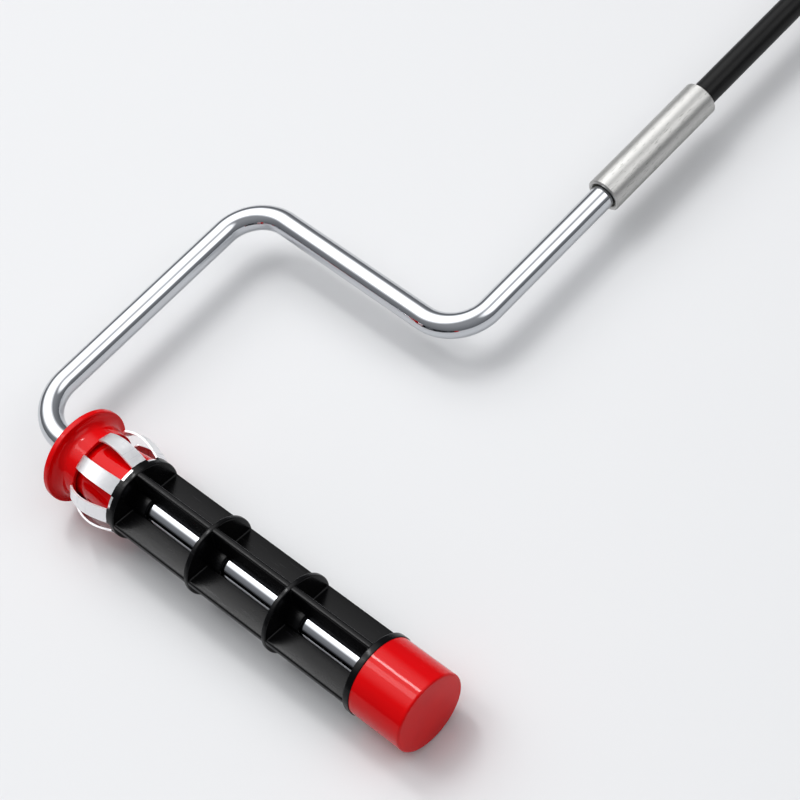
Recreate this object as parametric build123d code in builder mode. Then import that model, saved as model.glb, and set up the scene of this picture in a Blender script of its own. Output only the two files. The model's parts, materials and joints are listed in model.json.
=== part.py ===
"""Paint roller frame: a bent wire frame on a stiff rod, carrying a free-running cage for a 150 mm sleeve.

X runs along the roller axis towards its free end, Y along the handle, Z up out of the plane of the wire.
The origin is on the roller axis, at the inboard edge of the cage's first ring, where the sleeve seat begins.
"""

import os
from math import asin, pi, radians, sin, tan

from build123d import *

os.makedirs("parts", exist_ok=True)

size_tolerance = 0.01

# ---- driving dimensions, mm and degrees -------------------------------------------------
# wire frame
wire_radius = 4.0
axle_bend_radius = 15.5
leg_bend_radius = 14.0
near_leg_x = -50.0
near_leg_reach = 99.9
bridge_slope = 1.65
handle_x = 39.5
wire_end_y = 187.0
wire_chamfer = 0.8

# stop flange
stop_x = -24.0
flange_radius = 15.5
flange_thickness = 1.95
flange_edge = 0.4
skirt_radius = 11.8
skirt_wall = 1.1
skirt_lip_edge = 0.27
skirt_length = 7.05
skirt_fillet = 2.9
skirt_floor = 2.6
neck_root_radius = 9.9
neck_wall = 1.8
flange_hub_radius = 7.4

# spring retainer
steel_thickness = 0.6
band_radius = 12.35
band_start = -0.75
finger_count = 8
finger_phase = 25.0
finger_tip_x = -16.4
finger_tip_radius = 12.1
finger_shoulder_x = -15.5
finger_shoulder_radius = 13.25
bulge_x = -10.0
bulge_radius = 14.5
finger_root_x = -1.1
finger_tip_width = 4.5
finger_bulge_width = 4.9
finger_root_width = 5.3
slot_overrun = 1.0
finger_corner = 1.3

# cage
ring_radius = 12.95
ring_width = 1.7
ring_pitch = 31.6
first_ring_x = 0.35
bay_count = 3
ring_edge = 0.4
lip_bore_clearance = 0.1
tab_length = 1.1
seat_floor_x = 0.65
fin_count = 4
fin_phase = 81.5
fin_thickness = 2.1
fin_tip_radius = 12.7
fin_root_radius = 5.0
fin_edge = 0.3
boss_radius = 5.3
boss_length = 5.0
cage_bore_clearance = 0.35
last_ring_width = 2.3
outboard_hub_radius = 7.6
outboard_hub_length = 5.6
spigot_length = 6.5
spigot_wall = 1.5
cap_fit = 0.05

# bushes, washers and the nut on the axle
running_clearance = 0.06
bush_wall = 1.5
bush_flange_radius = 7.4
bush_flange_thickness = 1.2
inboard_bush_length = 12.0
press_gap = 0.05
thrust_gap = 0.3
washer_radius = 7.2
washer_thickness = 0.8
washer_clearance = 0.15
collar_radius = 6.4
collar_length = 3.4
collar_chamfer = 0.6
nut_radius = 7.0
nut_thickness = 0.7
nut_dome = 1.2
axle_stickout = 1.4

# end cap
cap_radius = 12.7
cap_length = 18.65
cap_wall = 1.65
cap_end_wall = 2.2
cap_edge = 0.7

# ferrule, rod and bonds
ferrule_wall = 1.3
bond_film = 0.6
ferrule_start_y = 165.1
ferrule_length = 48.1
ferrule_chamfer = 0.35
bond_length = 20.0
bond_recess = 0.9
rod_radius = 4.13
rod_start_gap = 2.0
rod_length = 175.0
rod_chamfer = 0.4

# grip
grip_start_y = 296.0
grip_length = 132.0
nose_length = 9.0
nose_radius = 8.6
nose_face_radius = 6.6
nose_shoulder = 4.0
nose_edge = 0.8
core_neck_radius = 10.6
core_waist_radius = 11.2
core_end_radius = 15.5
core_end_length = 34.0
core_rim_length = 4.0
core_rim_edge = 1.2
sleeve_front_gap = 4.0
sleeve_wall = 3.0
sleeve_swell = 1.2
groove_count = 9
groove_depth = 0.9
groove_width = 2.6
groove_reach = 6.0
socket_depth = 30.0
insert_outer_radius = 11.8
insert_bore = 8.5
insert_flange_radius = 13.4
insert_flange_thickness = 1.4
insert_floor = 2.0
pin_radius = 1.5
pin_bore = 0.75
pin_inset = 20.0
pin_end_gap = 0.3

# ---- dimensions that follow -------------------------------------------------------------
ferrule_bore = wire_radius + bond_film
ferrule_radius = ferrule_bore + ferrule_wall
far_leg_reach = near_leg_reach - tan(radians(bridge_slope)) * (handle_x - near_leg_x)
ring_x = [first_ring_x + ring_pitch * i for i in range(bay_count + 1)]
cap_start_x = ring_x[-1] + last_ring_width
cap_end_x = cap_start_x + cap_length
hub_end_x = cap_start_x + outboard_hub_length
bush_bore = wire_radius + running_clearance
bush_outer = bush_bore + bush_wall
bush_seat = bush_outer + press_gap
cage_bore = wire_radius + cage_bore_clearance
washer_bore = wire_radius + washer_clearance
flange_back_x = stop_x - flange_thickness
skirt_end_x = stop_x + skirt_length
skirt_floor_x = stop_x + skirt_floor
inboard_bush_end_x = flange_back_x + inboard_bush_length
band_inner = band_radius - steel_thickness
neck_end_radius = band_inner - press_gap
lip_bore = band_radius + lip_bore_clearance
spigot_radius = cap_radius - cap_wall - cap_fit
inboard_thrust_x = flange_back_x - bush_flange_thickness - thrust_gap
outboard_thrust_x = hub_end_x + bush_flange_thickness + thrust_gap
nut_x = outboard_thrust_x + washer_thickness
axle_end_x = nut_x + nut_thickness + axle_stickout
rod_start_y = wire_end_y + rod_start_gap
rod_end_y = rod_start_y + rod_length
ferrule_end_y = ferrule_start_y + ferrule_length
grip_end_y = grip_start_y + grip_length
core_start_y = grip_start_y + nose_length
sleeve_start_y = core_start_y + sleeve_front_gap
sleeve_end_y = grip_end_y - core_end_length
pocket_radius = core_waist_radius - sleeve_wall
socket_start_y = grip_end_y - socket_depth
sleeve_radius = core_waist_radius + sleeve_swell
groove_floor_radius = sleeve_radius - groove_depth
groove_pitch = (sleeve_end_y - sleeve_start_y) / (groove_count + 1)
handle_axis = Axis((handle_x, 0, 0), (0, 1, 0))


def slot_half(radius, finger_width):
    """Half the gap that leaves fingers of the given width, measured across at a radius."""
    return radius * sin(pi / finger_count - asin(finger_width / 2 / radius))


slot_root_half = slot_half(band_radius, finger_root_width)
slot_bulge_half = slot_half(bulge_radius, finger_bulge_width)
slot_tip_half = slot_half(finger_shoulder_radius, finger_tip_width)


def lathe_x(profile):
    """Revolve a list of (x, radius) points about the roller axis, inside a BuildPart block."""
    with BuildSketch(Plane.XY) as section:
        with BuildLine():
            Polyline(profile, close=True)
        make_face()
    revolve(section.sketch, axis=Axis.X)


def lathe_handle(profile):
    """Revolve a list of (y, radius) points about the handle axis, inside a BuildPart block."""
    with BuildSketch(Plane.XY) as section:
        with BuildLine():
            Polyline([(handle_x + radius, y) for y, radius in profile], close=True)
        make_face()
    revolve(section.sketch, axis=handle_axis)


def tube_x(start, end, outer, inner):
    lathe_x([(start, inner), (end, inner), (end, outer), (start, outer)])


def tube_handle(start, end, outer, inner):
    lathe_handle([(start, inner), (end, inner), (end, outer), (start, outer)])


def save(builder, label):
    builder.part.label = label
    export_step(builder.part, f"parts/{label}.step")


# ---- wire frame: one length of wire, three bends ------------------------------------------
with BuildPart() as wire_frame:
    with BuildLine() as wire_path:
        FilletPolyline(
            (axle_end_x, 0, 0),
            (near_leg_x, 0, 0),
            (near_leg_x, near_leg_reach, 0),
            (handle_x, far_leg_reach, 0),
            (handle_x, wire_end_y, 0),
            radius=[axle_bend_radius, leg_bend_radius, leg_bend_radius],
        )
    with BuildSketch(Plane(origin=(axle_end_x, 0, 0), z_dir=(-1, 0, 0))):
        Circle(wire_radius)
    sweep(path=wire_path.wires()[0])
    axle_tip = wire_frame.faces().sort_by(Axis.X)[-1]
    handle_tip = wire_frame.faces().sort_by(Axis.Y)[-1]
    chamfer(axle_tip.edges() + handle_tip.edges(), wire_chamfer)
save(wire_frame, "wire_frame")

# ---- stop flange: disc, skirt, conical neck and hub in one moulding ------------------------
with BuildPart() as stop_flange:
    lathe_x([
        (flange_back_x, bush_seat),
        (flange_back_x, flange_radius),
        (stop_x, flange_radius),
        (stop_x, skirt_radius),
        (skirt_end_x, skirt_radius),
        (skirt_end_x, skirt_radius - skirt_wall),
        (skirt_floor_x, skirt_radius - skirt_wall),
        (skirt_floor_x, neck_root_radius),
        (skirt_end_x, neck_root_radius),
        (band_start, neck_end_radius),
        (seat_floor_x, neck_end_radius),
        (seat_floor_x, neck_end_radius - neck_wall),
        (skirt_end_x, neck_root_radius - neck_wall),
        (skirt_floor_x, flange_hub_radius),
        (seat_floor_x, flange_hub_radius),
        (seat_floor_x, cage_bore),
        (inboard_bush_end_x, cage_bore),
        (inboard_bush_end_x, bush_seat),
    ])
    rims = stop_flange.edges().filter_by(
        lambda e: e.geom_type == GeomType.CIRCLE and e.radius > flange_radius - size_tolerance)
    fillet(rims, flange_edge)
    skirt_circles = stop_flange.edges().filter_by(
        lambda e: e.geom_type == GeomType.CIRCLE and abs(e.radius - skirt_radius) < size_tolerance)
    fillet(skirt_circles.sort_by(Axis.X)[-1], skirt_lip_edge)
    skirt_circles = stop_flange.edges().filter_by(
        lambda e: e.geom_type == GeomType.CIRCLE and abs(e.radius - skirt_radius) < size_tolerance)
    fillet(skirt_circles.sort_by(Axis.X)[0], skirt_fillet)
save(stop_flange, "stop_flange")

# ---- bushes the roller turns on ------------------------------------------------------------
with BuildPart() as inboard_bush:
    lathe_x([
        (flange_back_x - bush_flange_thickness, bush_bore),
        (flange_back_x - bush_flange_thickness, bush_flange_radius),
        (flange_back_x, bush_flange_radius),
        (flange_back_x, bush_outer),
        (inboard_bush_end_x, bush_outer),
        (inboard_bush_end_x, bush_bore),
    ])
save(inboard_bush, "inboard_bush")

with BuildPart() as outboard_bush:
    lathe_x([
        (ring_x[-1], bush_bore),
        (ring_x[-1], bush_outer),
        (hub_end_x, bush_outer),
        (hub_end_x, bush_flange_radius),
        (hub_end_x + bush_flange_thickness, bush_flange_radius),
        (hub_end_x + bush_flange_thickness, bush_bore),
    ])
save(outboard_bush, "outboard_bush")

# ---- spring retainer: a steel band with bowed fingers --------------------------------------
with BuildPart() as spring_retainer:
    with BuildSketch(Plane.XY):
        with BuildLine():
            Line((seat_floor_x, band_radius), (finger_root_x, band_radius))
            ThreePointArc((finger_root_x, band_radius), (bulge_x, bulge_radius),
                          (finger_shoulder_x, finger_shoulder_radius))
            Line((finger_shoulder_x, finger_shoulder_radius), (finger_tip_x, finger_tip_radius))
            Line((finger_tip_x, finger_tip_radius),
                 (finger_tip_x + steel_thickness / 2, finger_tip_radius - steel_thickness / 2))
            Line((finger_tip_x + steel_thickness / 2, finger_tip_radius - steel_thickness / 2),
                 (finger_shoulder_x + steel_thickness / 2, finger_shoulder_radius - steel_thickness))
            ThreePointArc((finger_shoulder_x + steel_thickness / 2, finger_shoulder_radius - steel_thickness),
                          (bulge_x, bulge_radius - steel_thickness), (finger_root_x, band_inner))
            Line((finger_root_x, band_inner), (seat_floor_x, band_inner))
            Line((seat_floor_x, band_inner), (seat_floor_x, band_radius))
        make_face()
    revolve(axis=Axis.X)
    for i in range(finger_count):
        slot_angle = finger_phase + 360 / finger_count * (i + 0.5)
        slot_plane = Plane.XY.rotated((slot_angle, 0, 0))
        with BuildSketch(slot_plane.offset(neck_root_radius)):
            with BuildLine():
                Polyline(
                    (band_start, -slot_root_half), (band_start, slot_root_half), (bulge_x, slot_bulge_half),
                    (finger_tip_x - slot_overrun, slot_tip_half), (finger_tip_x - slot_overrun, -slot_tip_half),
                    (bulge_x, -slot_bulge_half),
                    close=True,
                )
            make_face()
        extrude(amount=bulge_radius + slot_overrun - neck_root_radius, mode=Mode.SUBTRACT)
    tip_corners = spring_retainer.edges().filter_by(
        lambda e: e.length < 2 * steel_thickness and e.center().X < finger_shoulder_x
        and e.bounding_box().size.X > size_tolerance)
    fillet(tip_corners, finger_corner)
save(spring_retainer, "spring_retainer")

# ---- cage: rings, fins, bearing bosses and the spigot for the cap --------------------------
with BuildPart() as cage:
    for i, x in enumerate(ring_x):
        start = seat_floor_x if i == 0 else x
        end = cap_start_x if i == bay_count else x + ring_width
        bore = bush_seat if i == bay_count else cage_bore
        tube_x(start, end, ring_radius, bore)
    rims = cage.edges().filter_by(
        lambda e: e.geom_type == GeomType.CIRCLE and e.radius > ring_radius - size_tolerance)
    fillet(rims.sort_by(Axis.X)[1:-1], ring_edge)
    for x in ring_x[:-1]:
        tube_x(x + ring_width, x + ring_width + boss_length, boss_radius, cage_bore)
    with BuildSketch(Plane.YZ.offset(seat_floor_x)):
        with PolarLocations((fin_root_radius + fin_tip_radius) / 2, fin_count, start_angle=fin_phase):
            RectangleRounded(fin_tip_radius - fin_root_radius, fin_thickness, fin_edge)
    extrude(amount=ring_x[-1] - seat_floor_x)
    # lip round the retainer's band, with a tab over the root of each finger
    tube_x(-tab_length, seat_floor_x, ring_radius, lip_bore)
    for i in range(finger_count):
        gap_angle = finger_phase + 360 / finger_count * (i + 0.5)
        with BuildSketch(Plane.XY.rotated((gap_angle, 0, 0)).offset(neck_root_radius)):
            with Locations((-tab_length / 2, 0)):
                Rectangle(tab_length, 2 * slot_root_half)
        extrude(amount=ring_radius + slot_overrun - neck_root_radius, mode=Mode.SUBTRACT)
    tube_x(cap_start_x, hub_end_x, outboard_hub_radius, bush_seat)
    tube_x(cap_start_x, cap_start_x + spigot_length, spigot_radius, spigot_radius - spigot_wall)
save(cage, "cage")

# ---- end cap -------------------------------------------------------------------------------
with BuildPart() as end_cap:
    tube_x(cap_start_x, cap_end_x - cap_end_wall, cap_radius, cap_radius - cap_wall)
    with BuildSketch(Plane.YZ.offset(cap_end_x - cap_end_wall)):
        Circle(cap_radius)
    extrude(amount=cap_end_wall)
    fillet(end_cap.faces().sort_by(Axis.X)[-1].edges(), cap_edge)
save(end_cap, "end_cap")

# ---- what holds the roller on the axle -----------------------------------------------------
with BuildPart() as stop_collar:
    tube_x(inboard_thrust_x - washer_thickness - collar_length, inboard_thrust_x - washer_thickness,
           collar_radius, wire_radius)
    outer_edges = stop_collar.edges().filter_by(
        lambda e: e.geom_type == GeomType.CIRCLE and e.radius > collar_radius - size_tolerance)
    chamfer(outer_edges, collar_chamfer)
save(stop_collar, "stop_collar")

with BuildPart() as inboard_washer:
    tube_x(inboard_thrust_x - washer_thickness, inboard_thrust_x, washer_radius, washer_bore)
save(inboard_washer, "inboard_washer")

with BuildPart() as outboard_washer:
    tube_x(outboard_thrust_x, outboard_thrust_x + washer_thickness, washer_radius, washer_bore)
save(outboard_washer, "outboard_washer")

with BuildPart() as push_nut:
    lathe_x([
        (nut_x, nut_radius),
        (nut_x, nut_radius - nut_dome),
        (nut_x + nut_dome, wire_radius),
        (nut_x + nut_dome + nut_thickness, wire_radius),
        (nut_x + nut_thickness, nut_radius - nut_dome),
        (nut_x + nut_thickness, nut_radius),
    ])
save(push_nut, "push_nut")

# ---- ferrule, the bonds inside it and the rod ----------------------------------------------
with BuildPart() as ferrule:
    tube_handle(ferrule_start_y, ferrule_end_y, ferrule_radius, ferrule_bore)
    chamfer(ferrule.edges().filter_by(GeomType.CIRCLE), ferrule_chamfer)
save(ferrule, "ferrule")

with BuildPart() as wire_bond:
    start = ferrule_start_y + bond_recess
    tube_handle(start, start + bond_length, ferrule_bore, wire_radius)
save(wire_bond, "wire_bond")

with BuildPart() as rod_bond:
    end = ferrule_end_y - bond_recess
    tube_handle(end - bond_length, end, ferrule_bore, rod_radius)
save(rod_bond, "rod_bond")

with BuildPart() as rod:
    tube_handle(rod_start_y, rod_end_y, rod_radius, 0)
    chamfer(rod.edges().filter_by(GeomType.CIRCLE), rod_chamfer)
    with BuildSketch(Plane.XY.offset(-ferrule_radius)):
        with Locations((handle_x, rod_end_y - pin_inset)):
            Circle(pin_radius)
    extrude(amount=2 * ferrule_radius, mode=Mode.SUBTRACT)
save(rod, "rod")

# ---- grip ----------------------------------------------------------------------------------
with BuildPart() as grip_core:
    lathe_handle([
        (core_start_y, rod_radius),
        (core_start_y, core_neck_radius),
        (sleeve_start_y, core_neck_radius),
        (sleeve_start_y, pocket_radius),
        (sleeve_end_y, pocket_radius),
        (sleeve_end_y, sleeve_radius),
        (grip_end_y - core_rim_length, core_end_radius),
        (grip_end_y, core_end_radius),
        (grip_end_y, insert_outer_radius),
        (socket_start_y, insert_outer_radius),
        (socket_start_y, 0),
        (rod_end_y, 0),
        (rod_end_y, rod_radius),
    ])
    rear_rims = grip_core.edges().filter_by(
        lambda e: e.geom_type == GeomType.CIRCLE and e.radius > core_end_radius - size_tolerance)
    fillet(rear_rims, core_rim_edge)
    with BuildSketch(Plane.XY.offset(-core_end_radius)):
        with Locations((handle_x, rod_end_y - pin_inset)):
            Circle(pin_radius)
    extrude(amount=2 * core_end_radius, mode=Mode.SUBTRACT)
save(grip_core, "grip_core")

with BuildPart() as rod_pin:
    with BuildSketch(Plane.XY.offset(-pocket_radius + pin_end_gap)):
        with Locations((handle_x, rod_end_y - pin_inset)):
            Circle(pin_radius)
            Circle(pin_bore, mode=Mode.SUBTRACT)
    extrude(amount=2 * (pocket_radius - pin_end_gap))
save(rod_pin, "rod_pin")

with BuildPart() as grip_nose:
    lathe_handle([
        (grip_start_y, rod_radius),
        (grip_start_y, nose_face_radius),
        (core_start_y - nose_shoulder, nose_radius),
        (core_start_y, nose_radius),
        (core_start_y, rod_radius),
    ])
    nose_rims = grip_nose.edges().filter_by(
        lambda e: e.geom_type == GeomType.CIRCLE and e.radius > nose_face_radius - size_tolerance)
    fillet(nose_rims.sort_by(Axis.Y)[0:2], nose_edge)
save(grip_nose, "grip_nose")

with BuildPart() as grip_sleeve:
    with BuildSketch(Plane.XY):
        with BuildLine():
            Polyline((handle_x + core_neck_radius, sleeve_start_y), (handle_x + pocket_radius, sleeve_start_y),
                     (handle_x + pocket_radius, sleeve_end_y),
                     (handle_x + sleeve_radius, sleeve_end_y))
            ThreePointArc((handle_x + sleeve_radius, sleeve_end_y),
                          (handle_x + sleeve_radius, (sleeve_start_y + sleeve_end_y) / 2),
                          (handle_x + core_neck_radius, sleeve_start_y))
        make_face()
    revolve(axis=handle_axis)
    for i in range(groove_count):
        y = sleeve_start_y + groove_pitch * (i + 1)
        with BuildSketch(Plane.XY):
            with Locations((handle_x + groove_floor_radius, y)):
                Rectangle(groove_reach, groove_width, align=(Align.MIN, Align.CENTER))
        revolve(axis=handle_axis, mode=Mode.SUBTRACT)
save(grip_sleeve, "grip_sleeve")

# ---- threaded insert for an extension pole ---------------------------------------------------
with BuildPart() as thread_insert:
    lathe_handle([
        (socket_start_y, 0),
        (socket_start_y, insert_outer_radius),
        (grip_end_y, insert_outer_radius),
        (grip_end_y, insert_flange_radius),
        (grip_end_y + insert_flange_thickness, insert_flange_radius),
        (grip_end_y + insert_flange_thickness, insert_bore),
        (socket_start_y + insert_floor, insert_bore),
        (socket_start_y + insert_floor, 0),
    ])
save(thread_insert, "thread_insert")
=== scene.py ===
import json
import math

import bmesh
import bpy
from mathutils import Matrix, Vector


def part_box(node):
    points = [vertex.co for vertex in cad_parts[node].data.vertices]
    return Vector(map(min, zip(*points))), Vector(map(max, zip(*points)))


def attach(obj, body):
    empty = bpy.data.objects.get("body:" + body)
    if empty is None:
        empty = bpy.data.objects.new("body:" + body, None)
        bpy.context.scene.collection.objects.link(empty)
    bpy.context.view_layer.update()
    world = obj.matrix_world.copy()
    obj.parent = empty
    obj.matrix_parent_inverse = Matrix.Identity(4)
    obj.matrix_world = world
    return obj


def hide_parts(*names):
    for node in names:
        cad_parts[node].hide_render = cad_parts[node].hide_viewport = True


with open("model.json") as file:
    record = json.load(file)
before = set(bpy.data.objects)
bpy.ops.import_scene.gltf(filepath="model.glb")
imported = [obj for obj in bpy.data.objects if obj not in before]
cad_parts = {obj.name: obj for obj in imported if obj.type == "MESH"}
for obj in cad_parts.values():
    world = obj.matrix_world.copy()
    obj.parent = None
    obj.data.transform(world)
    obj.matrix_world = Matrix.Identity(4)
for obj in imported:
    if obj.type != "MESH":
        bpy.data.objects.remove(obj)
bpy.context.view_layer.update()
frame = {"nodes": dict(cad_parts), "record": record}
mm = 0.001
sink = 0.1 * mm     # how far one solid of a piece runs into the next
print("frame loaded")


def newFinish(name, colour, metallic, roughness):
    finish = bpy.data.materials.new(name)
    finish.use_nodes = True
    shader = finish.node_tree.nodes["Principled BSDF"]
    shader.inputs["Base Color"].default_value = (*colour, 1)
    shader.inputs["Metallic"].default_value = metallic
    shader.inputs["Roughness"].default_value = roughness
    return finish, finish.node_tree, shader


def objectPlace(tree, stretch=(1, 1, 1), turn=(0, 0, 0), attribute=None):
    mapping = tree.nodes.new("ShaderNodeMapping")
    mapping.inputs["Scale"].default_value = stretch
    mapping.inputs["Rotation"].default_value = [math.radians(angle) for angle in turn]
    if attribute:
        source = tree.nodes.new("ShaderNodeAttribute")
        source.attribute_name = attribute
        tree.links.new(source.outputs["Vector"], mapping.inputs["Vector"])
    else:
        source = tree.nodes.new("ShaderNodeTexCoord")
        tree.links.new(source.outputs["Object"], mapping.inputs["Vector"])
    return mapping.outputs["Vector"]


def grain(tree, place, scale, detail=4, roughness=0.55):
    noise = tree.nodes.new("ShaderNodeTexNoise")
    noise.inputs["Scale"].default_value = scale
    noise.inputs["Detail"].default_value = detail
    noise.inputs["Roughness"].default_value = roughness
    tree.links.new(place, noise.inputs["Vector"])
    return noise.outputs["Fac"]


def specks(tree, place, scale, size):
    # 1 inside small round spots, 0 between them
    cells = tree.nodes.new("ShaderNodeTexVoronoi")
    cells.inputs["Scale"].default_value = scale
    tree.links.new(place, cells.inputs["Vector"])
    return spread(tree, cells.outputs["Distance"], size, size * 0.5, 0, 1)


def spread(tree, value, fromLow, fromHigh, toLow, toHigh):
    node = tree.nodes.new("ShaderNodeMapRange")
    tree.links.new(value, node.inputs["Value"])
    levels = {"From Min": fromLow, "From Max": fromHigh, "To Min": toLow, "To Max": toHigh}
    for socket, level in levels.items():
        node.inputs[socket].default_value = level
    return node.outputs["Result"]


def combine(tree, operation, first, second):
    node = tree.nodes.new("ShaderNodeMath")
    node.operation = operation
    for index, value in enumerate((first, second)):
        if isinstance(value, (int, float)):
            node.inputs[index].default_value = value
        else:
            tree.links.new(value, node.inputs[index])
    return node.outputs["Value"]


def blendColours(tree, amount, first, second):
    node = tree.nodes.new("ShaderNodeMix")
    node.data_type = "RGBA"
    tree.links.new(amount, node.inputs["Factor"])
    for socket, colour in (("A", first), ("B", second)):
        target = [plug for plug in node.inputs if plug.name == socket and plug.type == "RGBA"][0]
        if isinstance(colour, tuple):
            target.default_value = (*colour, 1)
        else:
            tree.links.new(colour, target)
    return [plug for plug in node.outputs if plug.type == "RGBA"][0]


def relief(tree, shader, height, strength, depth, under=None):
    bump = tree.nodes.new("ShaderNodeBump")
    bump.inputs["Strength"].default_value = strength
    bump.inputs["Distance"].default_value = depth
    tree.links.new(height, bump.inputs["Height"])
    if under:
        tree.links.new(under, bump.inputs["Normal"])
    tree.links.new(bump.outputs["Normal"], shader.inputs["Normal"])
    return bump.outputs["Normal"]


def hairlines(tree, place, scale, cut):
    # thin broken lines along the stretched direction of the place
    return spread(tree, grain(tree, place, scale, 2, 0.7), cut, cut + 0.05, 0, 1)


def polishedChrome():
    plating = (0.62, 0.635, 0.66)
    finish, tree, shader = newFinish("polishedChrome", plating, 1, 0.07)
    along = objectPlace(tree, (1, 1, 0.012), attribute="straight")
    drawn = grain(tree, along, 2600, 3)
    waves = grain(tree, objectPlace(tree, (1, 1, 0.25), attribute="straight"), 140, 2)
    pits = specks(tree, objectPlace(tree, attribute="straight"), 95, 0.024)
    tree.links.new(spread(tree, drawn, 0.35, 0.7, 0.045, 0.12), shader.inputs["Roughness"])
    colour = blendColours(tree, pits, plating, (0.03, 0.03, 0.035))
    haze = blendColours(tree, spread(tree, waves, 0.45, 0.75, 0, 0.35), colour, (0.56, 0.56, 0.57))
    tree.links.new(haze, shader.inputs["Base Color"])
    lines = relief(tree, shader, drawn, 0.06, 0.0002)
    relief(tree, shader, waves, 0.10, 0.0006, lines)
    return finish


def zincSteel():
    finish, tree, shader = newFinish("zincSteel", (0.50, 0.50, 0.52), 1, 0.3)
    mottle = grain(tree, objectPlace(tree), 900, 4)
    tree.links.new(spread(tree, mottle, 0.3, 0.7, 0.22, 0.42), shader.inputs["Roughness"])
    relief(tree, shader, mottle, 0.15, 0.0001)
    return finish


def springSteel():
    steel = (0.94, 0.94, 0.95)
    finish, tree, shader = newFinish("springSteel", steel, 1, 0.4)
    rolled = grain(tree, objectPlace(tree, (0.06, 1, 1)), 3200, 3)
    scuffs = hairlines(tree, objectPlace(tree, (1, 0.05, 0.05), (0, 0, 25)), 1500, 0.62)
    tree.links.new(spread(tree, rolled, 0.3, 0.7, 0.32, 0.50), shader.inputs["Roughness"])
    colour = blendColours(tree, scuffs, steel, (0.80, 0.80, 0.82))
    tree.links.new(colour, shader.inputs["Base Color"])
    relief(tree, shader, rolled, 0.10, 0.0001)
    return finish


def glossyRed():
    bodyRed, scuffRed = (0.70, 0.0005, 0.002), (0.62, 0.001, 0.004)
    polish = 0.08
    finish, tree, shader = newFinish("glossyRed", bodyRed, 0, polish)
    shader.inputs["Specular IOR Level"].default_value = 0.28
    peel = grain(tree, objectPlace(tree), 260, 2)
    flow = grain(tree, objectPlace(tree, (0.3, 1, 1)), 60, 3)
    rub = hairlines(tree, objectPlace(tree, (0.04, 1, 1), (0, 12, 30)), 1800, 0.66)
    tree.links.new(combine(tree, "ADD", spread(tree, flow, 0.3, 0.7, polish * 0.8, polish * 1.3),
                           combine(tree, "MULTIPLY", rub, 0.18)), shader.inputs["Roughness"])
    tone = blendColours(tree, spread(tree, flow, 0.35, 0.7, 0, 1), bodyRed, scuffRed)
    tree.links.new(tone, shader.inputs["Base Color"])
    fine = relief(tree, shader, peel, 0.05, 0.0004)
    relief(tree, shader, rub, 0.04, 0.00005, fine)
    return finish


def mouldedNylon():
    finish, tree, shader = newFinish("mouldedNylon", (0.0012, 0.0012, 0.0015), 0, 0.22)
    shader.inputs["Specular IOR Level"].default_value = 0.24
    fine = grain(tree, objectPlace(tree), 2400, 3)
    flow = grain(tree, objectPlace(tree, (0.25, 1, 1)), 110, 4)
    rub = hairlines(tree, objectPlace(tree, (0.05, 1, 1), (0, 8, 14)), 1600, 0.64)
    rough = spread(tree, flow, 0.3, 0.7, 0.17, 0.30)
    burnished = combine(tree, "MULTIPLY", rub, 0.08)
    tree.links.new(combine(tree, "SUBTRACT", rough, burnished), shader.inputs["Roughness"])
    colour = blendColours(tree, rub, (0.0025, 0.0025, 0.003), (0.012, 0.012, 0.013))
    tree.links.new(colour, shader.inputs["Base Color"])
    skin = relief(tree, shader, fine, 0.10, 0.00008)
    relief(tree, shader, flow, 0.10, 0.0004, skin)
    return finish


def drawnAluminium():
    metal = (0.55, 0.545, 0.53)
    finish, tree, shader = newFinish("drawnAluminium", metal, 1, 0.42)
    drawn = grain(tree, objectPlace(tree, (1, 0.2, 1)), 5200, 5, 0.7)
    scores = hairlines(tree, objectPlace(tree, (1, 0.10, 1), (0, 0, 4)), 3200, 0.6)
    cloud = grain(tree, objectPlace(tree, (1, 0.4, 1)), 160, 3)
    rough = spread(tree, drawn, 0.3, 0.7, 0.28, 0.5)
    scored = combine(tree, "MULTIPLY", scores, 0.12)
    tree.links.new(combine(tree, "ADD", rough, scored), shader.inputs["Roughness"])
    colour = blendColours(tree, scores, metal, (0.40, 0.40, 0.385))
    colour = blendColours(tree, spread(tree, cloud, 0.4, 0.75, 0, 0.4), colour, (0.47, 0.47, 0.455))
    tree.links.new(colour, shader.inputs["Base Color"])
    lines = relief(tree, shader, drawn, 0.22, 0.00006)
    relief(tree, shader, scores, 0.12, 0.00005, lines)
    return finish


def blackRod():
    black, worn = (0.006, 0.006, 0.006), (0.014, 0.0135, 0.013)
    finish, tree, shader = newFinish("blackRod", black, 0, 0.34)
    shader.inputs["Specular IOR Level"].default_value = 0.3
    fibres = grain(tree, objectPlace(tree, (1, 0.02, 1)), 2400, 4)
    fine = grain(tree, objectPlace(tree), 1400, 3)
    tree.links.new(spread(tree, fibres, 0.3, 0.7, 0.28, 0.44), shader.inputs["Roughness"])
    tone = blendColours(tree, spread(tree, fibres, 0.5, 0.8, 0, 1), black, worn)
    tree.links.new(tone, shader.inputs["Base Color"])
    lines = relief(tree, shader, fibres, 0.14, 0.0001)
    relief(tree, shader, fine, 0.2, 0.0001, lines)
    return finish


def setResin():
    finish, tree, shader = newFinish("setResin", (0.05, 0.048, 0.038), 0, 0.3)
    lumps = grain(tree, objectPlace(tree), 700, 3)
    tone = blendColours(tree, lumps, (0.025, 0.025, 0.022), (0.12, 0.115, 0.08))
    tree.links.new(tone, shader.inputs["Base Color"])
    relief(tree, shader, lumps, 0.5, 0.0004)
    return finish


def slickPlastic():
    finish, tree, shader = newFinish("slickPlastic", (0.72, 0.70, 0.64), 0, 0.4)
    cloud = grain(tree, objectPlace(tree), 500, 3)
    tree.links.new(spread(tree, cloud, 0.3, 0.7, 0.32, 0.5), shader.inputs["Roughness"])
    relief(tree, shader, cloud, 0.08, 0.0002)
    return finish


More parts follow.
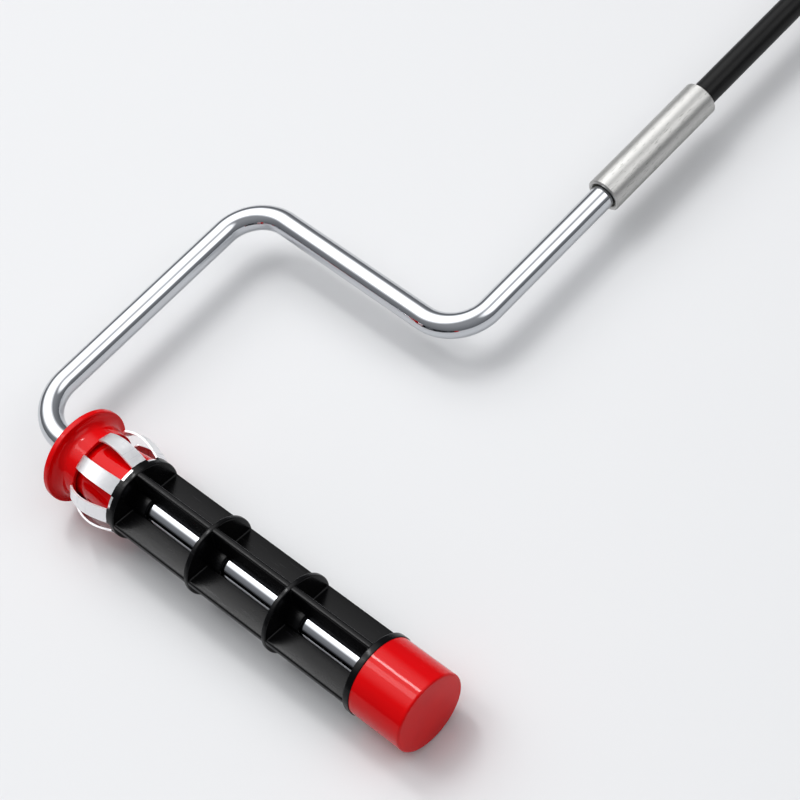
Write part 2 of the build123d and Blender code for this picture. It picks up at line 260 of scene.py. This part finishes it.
def softRubber():
    rubber, chalky = (0.022, 0.022, 0.023), (0.045, 0.044, 0.043)
    finish, tree, shader = newFinish("softRubber", rubber, 0, 0.62)
    skin = grain(tree, objectPlace(tree), 3000, 4, 0.6)
    wear = grain(tree, objectPlace(tree, (1, 0.6, 1)), 90, 4)
    tree.links.new(spread(tree, wear, 0.3, 0.7, 0.5, 0.72), shader.inputs["Roughness"])
    tone = blendColours(tree, spread(tree, wear, 0.45, 0.75, 0, 1), rubber, chalky)
    tree.links.new(tone, shader.inputs["Base Color"])
    relief(tree, shader, skin, 0.35, 0.00015)
    return finish


finishes = {
    "chromed_wire": polishedChrome(),
    "axle_steel": zincSteel(),
    "red_moulding": glossyRed(),
    "bush_plastic": slickPlastic(),
    "spring_steel": springSteel(),
    "black_nylon": mouldedNylon(),
    "ferrule_aluminium": drawnAluminium(),
    "bond_resin": setResin(),
    "black_rod": blackRod(),
    "grip_rubber": softRubber(),
}
for part in frame["record"]["subparts"]:
    mesh = frame["nodes"][part["node"]].data
    mesh.materials.clear()
    mesh.materials.append(finishes[part["material_slot"]])
print("finishes on the frame's own nodes")


def keepPiece(shape, name, body, slotName, covers=(), sharp=32):
    # turns a bmesh into an object in the frame, smooth but for its sharp edges
    for edge in shape.edges:
        if len(edge.link_faces) == 2:
            edge.smooth = edge.calc_face_angle() < math.radians(sharp)
    for face in shape.faces:
        face.smooth = True
    mesh = bpy.data.meshes.new(name)
    shape.to_mesh(mesh)
    shape.free()
    piece = bpy.data.objects.new(name, mesh)
    bpy.context.scene.collection.objects.link(piece)
    mesh.materials.append(finishes[slotName])
    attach(piece, body)
    if covers:
        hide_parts(*covers)
    return piece


wire = {
    "radius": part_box("wire_frame")[1][2],
    "axleBend": 15.5 * mm,
    "legBend": 14.0 * mm,
    "reach": 99.9 * mm,       # roller axis to the first leg's corner
    "slope": 1.65,            # degrees the bridge falls back towards the handle
    "chamfer": 0.8 * mm,
    "sides": 56,
    "bendSteps": 30,
}


def bentWire():
    low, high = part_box("wire_frame")
    handleX = (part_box("rod")[0][0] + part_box("rod")[1][0]) / 2
    nearX = low[0] + wire["radius"]
    farReach = wire["reach"] - math.tan(math.radians(wire["slope"])) * (handleX - nearX)
    corners = [Vector(point) for point in (
        (high[0], 0, 0), (nearX, 0, 0), (nearX, wire["reach"], 0),
        (handleX, farReach, 0), (handleX, high[1], 0))]
    bends = [wire["axleBend"], wire["legBend"], wire["legBend"]]
    shape = bmesh.new()
    straight = shape.verts.layers.float_vector.new("straight")
    heading = (corners[1] - corners[0]).normalized()
    narrow = wire["radius"] - wire["chamfer"]
    ring = bmesh.ops.create_circle(shape, segments=wire["sides"], radius=narrow)["verts"]
    for vert in ring:
        vert[straight] = vert.co.copy()
    facing = heading.to_track_quat("Z", "Y").to_matrix()
    bmesh.ops.rotate(shape, verts=ring, matrix=facing)
    bmesh.ops.translate(shape, verts=ring, vec=corners[0])
    centre = corners[0].copy()
    travelled = 0.0
    edges = shape.edges[:]

    def extend(edges, travelled):
        made = bmesh.ops.extrude_edge_only(shape, edges=edges)["geom"]
        verts = [part for part in made if isinstance(part, bmesh.types.BMVert)]
        for vert in verts:
            vert[straight] = (vert[straight][0], vert[straight][1], travelled)
        return verts, [part for part in made if isinstance(part, bmesh.types.BMEdge) and
                       all(end in verts for end in part.verts)]

    def widen(verts, factor, centre):
        bmesh.ops.scale(shape, verts=verts, vec=(factor, factor, factor), space=Matrix.Translation(-centre))

    travelled += wire["chamfer"]
    centre += heading * wire["chamfer"]
    verts, edges = extend(edges, travelled)
    bmesh.ops.translate(shape, verts=verts, vec=heading * wire["chamfer"])
    widen(verts, wire["radius"] / narrow, centre)
    for index in range(1, len(corners)):
        bend = bends[index - 1] if index <= len(bends) else 0
        stop = corners[index]
        if bend:
            nextHeading = (corners[index + 1] - corners[index]).normalized()
            turn = math.atan2(heading.cross(nextHeading).z, heading.dot(nextHeading))
            stop = corners[index] - heading * bend * math.tan(abs(turn) / 2)
        else:
            stop = corners[index] - heading * wire["chamfer"]
        run = (stop - centre).length
        travelled += run
        verts, edges = extend(edges, travelled)
        bmesh.ops.translate(shape, verts=verts, vec=heading * run)
        centre = stop.copy()
        if bend:
            pivot = centre + Vector((0, 0, math.copysign(1, turn))).cross(heading) * bend
            step = Matrix.Rotation(turn / wire["bendSteps"], 3, "Z")
            for _ in range(wire["bendSteps"]):
                travelled += bend * abs(turn) / wire["bendSteps"]
                verts, edges = extend(edges, travelled)
                bmesh.ops.rotate(shape, verts=verts, cent=pivot, matrix=step)
                centre = pivot + step @ (centre - pivot)
            heading = nextHeading
    travelled += wire["chamfer"]
    centre += heading * wire["chamfer"]
    verts, edges = extend(edges, travelled)
    bmesh.ops.translate(shape, verts=verts, vec=heading * wire["chamfer"])
    widen(verts, narrow / wire["radius"], centre)
    bmesh.ops.holes_fill(shape, edges=shape.edges[:])
    bmesh.ops.recalc_face_normals(shape, faces=shape.faces[:])
    return keepPiece(shape, "bentWire", "frame", "chromed_wire", ["wire_frame"])


bentWire()
print("bent wire")


def turned(shape, outline, pivot, axis, start=0, sweep=360, steps=96):
    # outline: (along, radius, corner softness) round a closed section, turned about the axis
    axis = Vector(axis)
    outward = Vector((0, 0, 1))
    pivot = Vector(pivot)
    before = set(shape.verts)
    corners = [shape.verts.new(pivot + axis * along + outward * radius) for along, radius, soft in outline]
    shape.faces.new(corners)
    softness = {}
    for corner, (along, radius, soft) in zip(corners, outline):
        if soft:
            softness.setdefault(soft, []).append(corner)
    for soft, chosen in softness.items():
        bmesh.ops.bevel(shape, geom=chosen, offset=soft, offset_type="OFFSET", segments=5, profile=0.5,
                        affect="VERTICES", material=-1)
    section = [face for face in shape.faces if not before.intersection(face.verts)][-1]
    if start:
        bmesh.ops.rotate(shape, verts=section.verts[:], cent=pivot,
                         matrix=Matrix.Rotation(math.radians(start), 3, axis))
    whole = sweep == 360
    geom = section.verts[:] + section.edges[:] + ([] if whole else [section])
    bmesh.ops.spin(shape, geom=geom, cent=pivot, axis=axis, angle=math.radians(sweep), steps=steps,
                   use_merge=whole)
    if whole:
        bmesh.ops.delete(shape, geom=[section], context="FACES_ONLY")


def tidyShape(shape):
    bmesh.ops.remove_doubles(shape, verts=shape.verts[:], dist=0.000001)
    bmesh.ops.recalc_face_normals(shape, faces=shape.faces[:])
    return shape


cage = {
    "ringRadius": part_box("cage")[1][2],
    "lipBore": 12.45 * mm,
    "firstRing": 0.35 * mm,
    "ringWidth": 1.7 * mm,
    "lastWidth": 2.3 * mm,
    "pitch": 31.6 * mm,
    "bays": 3,
    "seatFloor": 0.65 * mm,
    "tabs": 8,
    "tabPhase": 25.0,
    "tabSpan": 25.0,
    "fins": 4,
    "finPhase": 81.5,
    "finThick": 2.1 * mm,
    "finTip": 12.75 * mm,
    "finRoot": 5.0 * mm,
    "bossRadius": 5.3 * mm,
    "bossLength": 5.0 * mm,
    "bore": 4.35 * mm,
    "seat": 5.61 * mm,
    "hubRadius": 7.6 * mm,
    "hubLength": 5.6 * mm,
    "spigot": (11.0 * mm, 9.5 * mm, 6.5 * mm),
    "softEdge": 0.45 * mm,
    "finSoft": 0.585 * mm,
    "fillet": 0.55 * mm,
    "filletSteps": 4,
    "filletBury": 0.3 * mm,      # its foot starts this far under the boss
    "filletHeight": 0.2 * mm,    # taken off the height from boss to fin tip
    "bossSteps": 64,
    "tabSteps": 8,
}


def cornerFillet(shape, x, side, flank, angle):
    # a concave strip in the corner between a disc face at x and one flank of a fin
    size, steps = cage["fillet"], cage["filletSteps"]
    half = cage["finThick"] / 2
    points = [(0, 0)] + [(size - size * math.sin(turn), size - size * math.cos(turn))
                         for turn in (math.pi / 2 * step / steps for step in range(steps + 1))]
    verts = [shape.verts.new((x + side * along, flank * (half + across),
                              cage["bossRadius"] - cage["filletBury"]))
             for along, across in points]
    face = shape.faces.new(verts)
    made = bmesh.ops.extrude_face_region(shape, geom=[face])["geom"]
    moved = [part for part in made if isinstance(part, bmesh.types.BMVert)]
    rise = cage["finTip"] - cage["bossRadius"] - cage["filletHeight"]
    bmesh.ops.translate(shape, verts=moved, vec=(0, 0, rise))
    bmesh.ops.rotate(shape, verts=verts + moved, matrix=Matrix.Rotation(math.radians(angle - 90), 3, "X"))


def nylonCage():
    shape = bmesh.new()
    soft = cage["softEdge"]
    radius, bore = cage["ringRadius"], cage["bore"]
    rings = [cage["firstRing"] + cage["pitch"] * index for index in range(cage["bays"] + 1)]
    capStart = rings[-1] + cage["lastWidth"]
    turned(shape, [(0, cage["lipBore"], 0), (0, radius, soft / 2),
                   (rings[0] + cage["ringWidth"], radius, soft),
                   (rings[0] + cage["ringWidth"], bore, 0), (cage["seatFloor"], bore, 0),
                   (cage["seatFloor"], cage["lipBore"], 0)], (0, 0, 0), (1, 0, 0))
    for ring in rings[1:-1]:
        turned(shape, [(ring, bore, 0), (ring, radius, soft), (ring + cage["ringWidth"], radius, soft),
                       (ring + cage["ringWidth"], bore, 0)], (0, 0, 0), (1, 0, 0))
    turned(shape, [(rings[-1], cage["seat"], 0), (rings[-1], radius, soft), (capStart, radius, soft / 3),
                   (capStart, cage["seat"], 0)], (0, 0, 0), (1, 0, 0))
    for ring in rings[:-1]:
        face = ring + cage["ringWidth"]
        turned(shape, [(face - sink, bore, 0), (face - sink, cage["bossRadius"], 0),
                       (face + cage["bossLength"], cage["bossRadius"], soft),
                       (face + cage["bossLength"], bore, 0)], (0, 0, 0), (1, 0, 0), steps=cage["bossSteps"])
    for index in range(cage["tabs"]):
        middle = cage["tabPhase"] + 360 / cage["tabs"] * index
        turned(shape, [(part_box("cage")[0][0], cage["lipBore"], 0), (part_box("cage")[0][0], radius, soft / 2),
                       (0.2 * mm, radius, 0), (0.2 * mm, cage["lipBore"], 0)],
               (0, 0, 0), (1, 0, 0), middle - 90 - cage["tabSpan"] / 2, cage["tabSpan"], cage["tabSteps"])
    outer, inner, length = cage["spigot"]
    turned(shape, [(capStart - sink, inner, 0), (capStart - sink, outer, 0),
                   (capStart + length, outer, soft), (capStart + length, inner, 0)], (0, 0, 0), (1, 0, 0))
    turned(shape, [(capStart - sink, cage["seat"], 0), (capStart - sink, cage["hubRadius"], 0),
                   (capStart + cage["hubLength"], cage["hubRadius"], 0),
                   (capStart + cage["hubLength"], cage["seat"], 0)], (0, 0, 0), (1, 0, 0))
    depth = cage["finTip"] - cage["finRoot"]
    length = rings[-1] - cage["seatFloor"] - sink
    for index in range(cage["fins"]):
        angle = cage["finPhase"] + 360 / cage["fins"] * index
        fin = bmesh.ops.create_cube(shape, size=1)["verts"]
        bmesh.ops.scale(shape, verts=fin, vec=(length, cage["finThick"], depth))
        bmesh.ops.translate(shape, verts=fin, vec=(cage["seatFloor"] + sink + length / 2, 0,
                                                   cage["finRoot"] + depth / 2))
        tips = [edge for edge in {edge for vert in fin for edge in vert.link_edges}
                if abs(edge.verts[0].co.x - edge.verts[1].co.x) > length / 2
                and edge.verts[0].co.z > cage["finRoot"] + depth / 2]
        rounded = bmesh.ops.bevel(shape, geom=tips, offset=cage["finSoft"], offset_type="OFFSET", segments=4,
                                  profile=0.5, affect="EDGES", material=-1)
        fin = {vert for vert in fin if vert.is_valid} | {vert for vert in rounded["verts"] if vert.is_valid}
        bmesh.ops.rotate(shape, verts=list(fin), matrix=Matrix.Rotation(math.radians(angle - 90), 3, "X"))
        for bay in range(cage["bays"]):
            for flank in (-1, 1):
                cornerFillet(shape, rings[bay] + cage["ringWidth"], 1, flank, angle)
                cornerFillet(shape, rings[bay + 1], -1, flank, angle)
    return keepPiece(tidyShape(shape), "nylonCage", "roller", "black_nylon", ["cage"])


spring = {
    "fingers": 8,
    "phase": 25.0,
    "steel": 0.6 * mm,
    "bandRadius": 12.35 * mm,
    "bandStart": -0.75 * mm,
    "root": -1.1 * mm,
    "bulge": (-10.0 * mm, 14.5 * mm),
    "shoulder": (-15.5 * mm, 13.25 * mm),
    "tip": (-16.4 * mm, 12.1 * mm),
    "widths": (5.3 * mm, 4.9 * mm, 4.5 * mm),   # at the root, the bulge and the tip
    "corner": 1.3 * mm,
    "bowed": 0.88,             # share of a finger's length before its shoulder
    "skin": 0.06 * mm,
    "bandLap": 0.5 * mm,
    "bandSoft": 0.1 * mm,
    "steps": 26,
    "stepsAcross": 6,
}


def springFingers():
    # one strip bowed lengthwise, with its thickness added outside it, repeated round a plain band
    shape = bmesh.new()
    root = spring["root"]
    bulgeX, bulgeRadius = spring["bulge"]
    shoulderX, shoulderRadius = spring["shoulder"]
    tipX, tipRadius = spring["tip"]
    bowed = spring["bowed"]

    def stripAt(share):
        # where the strip is and how wide, from 0 at its root to 1 at its tip
        if share < bowed:
            x = root + (shoulderX - root) * share / bowed
            if x > bulgeX:
                lift = math.cos(math.pi / 2 * (bulgeX - x) / (bulgeX - root))
                radius = spring["bandRadius"] + (bulgeRadius - spring["bandRadius"]) * lift
            else:
                lift = 1 - ((bulgeX - x) / (bulgeX - shoulderX)) ** 2
                radius = shoulderRadius + (bulgeRadius - shoulderRadius) * lift
        else:
            part = (share - bowed) / (1 - bowed)
            x = shoulderX + (tipX - shoulderX) * part
            radius = shoulderRadius + (tipRadius - shoulderRadius) * part ** 1.5
        start, middle, end = spring["widths"]
        width = start + (middle - start) * (root - x) / (root - bulgeX) if x > bulgeX else (
            middle + (end - middle) * (bulgeX - x) / (bulgeX - tipX))
        return x, radius, width

    strip = bmesh.ops.create_grid(shape, x_segments=spring["steps"], y_segments=spring["stepsAcross"],
                                  size=1)["verts"]
    reach = abs(tipX - root)
    for vert in strip:
        share, across = (vert.co.x + 1) / 2, vert.co.y
        # the tip's corners are drawn back along a quarter circle
        tipHalf = spring["widths"][2] / 2
        edge = max(0, abs(across) * tipHalf - tipHalf + spring["corner"])
        drawn = spring["corner"] - math.sqrt(max(0, spring["corner"] ** 2 - edge ** 2))
        share -= share ** 8 * drawn / reach
        x, radius, width = stripAt(share)
        vert.co = (x, across * width / 2, radius - spring["skin"])
    bmesh.ops.recalc_face_normals(shape, faces=shape.faces[:])
    if shape.faces[:][0].normal.z > 0:
        bmesh.ops.reverse_faces(shape, faces=shape.faces[:])
    bmesh.ops.solidify(shape, geom=shape.faces[:], thickness=spring["steel"])
    finger = shape.verts[:] + shape.edges[:] + shape.faces[:]
    for index in range(1, spring["fingers"]):
        copied = bmesh.ops.duplicate(shape, geom=finger)["geom"]
        bmesh.ops.rotate(shape, verts=[part for part in copied if isinstance(part, bmesh.types.BMVert)],
                         matrix=Matrix.Rotation(2 * math.pi / spring["fingers"] * index, 3, "X"))
    bmesh.ops.rotate(shape, verts=shape.verts[:],
                     matrix=Matrix.Rotation(math.radians(spring["phase"] - 90), 3, "X"))
    bandStart, bandEnd = spring["bandStart"] - spring["bandLap"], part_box("spring_retainer")[1][0]
    outer, inner = spring["bandRadius"], spring["bandRadius"] - spring["steel"]
    turned(shape, [(bandStart, inner, 0), (bandStart, outer, spring["bandSoft"]),
                   (bandEnd, outer, 0), (bandEnd, inner, 0)], (0, 0, 0), (1, 0, 0))
    return keepPiece(tidyShape(shape), "springFingers", "roller", "spring_steel", ["spring_retainer"],
                     sharp=40)


grip = {
    "grooves": 9,
    "grooveDepth": 0.9 * mm,
    "grooveWidth": 2.6 * mm,
    "neck": 10.6 * mm,
    "swell": 12.4 * mm,
    "pocket": 8.2 * mm,
    "soft": 0.7 * mm,
    "threadPitch": 5.0 * mm,
    "threadDepth": 0.9 * mm,
    "threadTurns": 5,
    "socketRadius": 8.5 * mm,
    "threadSink": 0.05 * mm,
    "threadBase": 0.30,          # half widths of the ridge, as shares of the pitch
    "threadCrest": 0.14,
    "threadRunout": 0.4,         # part of a turn left plain at the mouth
    "stepsPerTurn": 48,
}


def ribbedSleeve():
    low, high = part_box("grip_sleeve")
    handleX = (low[0] + high[0]) / 2
    start, stop = low[1], high[1]
    span = stop - start
    outline = [(start, grip["pocket"], 0), (start, grip["neck"], grip["soft"])]

    def barrel(along):
        # the sleeve swells from its neck and stays full to its back end
        fullness = math.sin(math.pi / 2 * min(1, 2 * along / span))
        return grip["neck"] + (grip["swell"] - grip["neck"]) * fullness

    for index in range(grip["grooves"]):
        middle = span / (grip["grooves"] + 1) * (index + 1)
        half = grip["grooveWidth"] / 2
        floor = barrel(middle) - grip["grooveDepth"]
        outline += [(start + middle - half, barrel(middle), grip["soft"] * 0.6),
                    (start + middle - half * 0.6, floor, grip["soft"] * 0.5),
                    (start + middle + half * 0.6, floor, grip["soft"] * 0.5),
                    (start + middle + half, barrel(middle), grip["soft"] * 0.6)]
    outline += [(stop, barrel(span), grip["soft"]), (stop, grip["pocket"], 0)]
    shape = bmesh.new()
    turned(shape, outline, (handleX, 0, 0), (0, 1, 0))
    return keepPiece(tidyShape(shape), "ribbedSleeve", "frame", "grip_rubber", ["grip_sleeve"], sharp=50)


def poleThread():
    low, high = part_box("thread_insert")
    handleX = (low[0] + high[0]) / 2
    shape = bmesh.new()
    start = high[1] - grip["threadPitch"] * (grip["threadTurns"] + grip["threadRunout"])
    outer, inner = grip["socketRadius"] + grip["threadSink"], grip["socketRadius"] - grip["threadDepth"]
    base, crest = grip["threadPitch"] * grip["threadBase"], grip["threadPitch"] * grip["threadCrest"]
    verts = [shape.verts.new((handleX, start + along, radius)) for along, radius in (
        (-base, outer), (-crest, inner), (crest, inner), (base, outer))]
    face = shape.faces.new(verts)
    steps = grip["threadTurns"] * grip["stepsPerTurn"]
    bmesh.ops.spin(shape, geom=[face] + face.edges[:] + verts, cent=(handleX, 0, 0), axis=(0, 1, 0),
                   angle=2 * math.pi * grip["threadTurns"], steps=steps,
                   dvec=(0, grip["threadPitch"] / grip["stepsPerTurn"], 0))
    return keepPiece(tidyShape(shape), "poleThread", "frame", "red_moulding")


nylonCage()
springFingers()
ribbedSleeve()
poleThread()
print("cage, spring fingers, ribbed sleeve and pole thread")


ground = {
    "size": 4,
    "clearance": 0.2 * mm,
    "paper": (0.70, 0.704, 0.711),
}


def makeFloor():
    # the frame rests on the flange's rim, the cap's rim and the back of the grip
    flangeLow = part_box("stop_flange")[0]
    capLow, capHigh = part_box("end_cap")
    gripLow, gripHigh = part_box("grip_core")
    rest = [
        Vector((flangeLow[0], 0, flangeLow[2])),
        Vector((capHigh[0], 0, capLow[2])),
        Vector(((gripLow[0] + gripHigh[0]) / 2, gripHigh[1], gripLow[2])),
    ]
    upward = (rest[1] - rest[0]).cross(rest[2] - rest[0]).normalized()
    if upward.z < 0:
        upward.negate()
    shape = bmesh.new()
    bmesh.ops.create_grid(shape, x_segments=1, y_segments=1, size=ground["size"])
    tilt = Vector((0, 0, 1)).rotation_difference(upward).to_matrix().to_4x4()
    below = Matrix.Translation(rest[0] - upward * ground["clearance"])
    bmesh.ops.transform(shape, matrix=below @ tilt, verts=shape.verts)
    mesh = bpy.data.meshes.new("floor")
    shape.to_mesh(mesh)
    shape.free()
    floor = bpy.data.objects.new("floor", mesh)
    bpy.context.scene.collection.objects.link(floor)
    paper = newFinish("paleFloor", ground["paper"], 0, 0.55)[0]
    mesh.materials.append(paper)


studio = {
    "aim": Vector((0.03, 0.07, 0)),
    "distance": 1.3,
    # name: azimuth from +X, elevation, width, height, brightness of its face
    "lamps": {
        "narrowKey": (157, 62, 0.11, 0.42, 15.0),
        "middleKey": (204, 60, 0.26, 0.46, 2.8),
    },
    # soft patches of the room: direction, inner and outer reach in degrees, brightness
    "patches": [
        ((-0.50, 0.06, 0.86), 16, 46, 1.55),
        ((0.56, 0.38, 0.74), 6, 26, 1.35),
    ],
    "zenith": (0.36, 0.365, 0.378),
    "horizon": (0.17, 0.175, 0.185),
}


def softPatch(tree, place, direction, inner, outer, brightness):
    facing = tree.nodes.new("ShaderNodeVectorMath")
    facing.operation = "DOT_PRODUCT"
    tree.links.new(place, facing.inputs[0])
    facing.inputs[1].default_value = Vector(direction).normalized()
    patch = tree.nodes.new("ShaderNodeMapRange")
    patch.interpolation_type = "SMOOTHSTEP"
    tree.links.new(facing.outputs["Value"], patch.inputs["Value"])
    patch.inputs["From Min"].default_value = math.cos(math.radians(outer))
    patch.inputs["From Max"].default_value = math.cos(math.radians(inner))
    patch.inputs["To Max"].default_value = brightness
    return patch.outputs["Result"]


def makeLights():
    for name, (azimuth, elevation, width, height, brightness) in studio["lamps"].items():
        azimuth, elevation = math.radians(azimuth), math.radians(elevation)
        outward = Vector((math.cos(azimuth) * math.cos(elevation), math.sin(azimuth) * math.cos(elevation),
                          math.sin(elevation)))
        lamp = bpy.data.lights.new(name, "AREA")
        lamp.shape = "RECTANGLE"
        lamp.size = width
        lamp.size_y = height
        lamp.energy = brightness * math.pi * width * height
        holder = bpy.data.objects.new(name, lamp)
        holder.location = studio["aim"] + outward * studio["distance"]
        holder.rotation_euler = outward.to_track_quat("Z", "Y").to_euler()
        bpy.context.scene.collection.objects.link(holder)
    world = bpy.data.worlds.new("studio")
    bpy.context.scene.world = world
    world.use_nodes = True
    tree = world.node_tree
    place = tree.nodes.new("ShaderNodeTexCoord").outputs["Generated"]
    parts = tree.nodes.new("ShaderNodeSeparateXYZ")
    tree.links.new(place, parts.inputs["Vector"])
    height = spread(tree, parts.outputs["Z"], 0.05, 0.85, 0, 1)
    tone = blendColours(tree, height, studio["horizon"], studio["zenith"])
    glow = 0.0
    for patch in studio["patches"]:
        glow = combine(tree, "ADD", softPatch(tree, place, *patch), glow)
    lift = tree.nodes.new("ShaderNodeCombineXYZ")
    for axis in "XYZ":
        tree.links.new(glow, lift.inputs[axis])
    total = tree.nodes.new("ShaderNodeVectorMath")
    tree.links.new(tone, total.inputs[0])
    tree.links.new(lift.outputs["Vector"], total.inputs[1])
    tree.links.new(total.outputs["Vector"], tree.nodes["Background"].inputs["Color"])


lens = {
    "azimuth": 56.28,
    "elevation": 54.04,
    "roll": -16.80,
    "aim": Vector((0.0394, 0.0712, 0)),
    "distance": 0.7108,
    "length": 108.2,
    "sensor": 36.0,
}


def makeCamera():
    azimuth, elevation, roll = (math.radians(lens[key]) for key in ("azimuth", "elevation", "roll"))
    back = Vector((math.sin(azimuth) * math.cos(elevation), -math.cos(azimuth) * math.cos(elevation),
                   math.sin(elevation)))
    right = Vector((math.cos(azimuth), math.sin(azimuth), 0))
    upward = back.cross(right)
    right, upward = (right * math.cos(roll) + upward * math.sin(roll),
                     upward * math.cos(roll) - right * math.sin(roll))
    camera = bpy.data.cameras.new("camera")
    camera.lens = lens["length"]
    camera.sensor_width = lens["sensor"]
    holder = bpy.data.objects.new("camera", camera)
    orientation = Matrix((right, upward, back)).transposed().to_4x4()
    holder.matrix_world = Matrix.Translation(lens["aim"] + back * lens["distance"]) @ orientation
    bpy.context.scene.collection.objects.link(holder)
    bpy.context.scene.camera = holder


makeFloor()
makeLights()
makeCamera()
bpy.context.scene.view_settings.view_transform = "Standard"
bpy.context.scene.view_settings.look = "Medium High Contrast"
print("floor, light and camera")
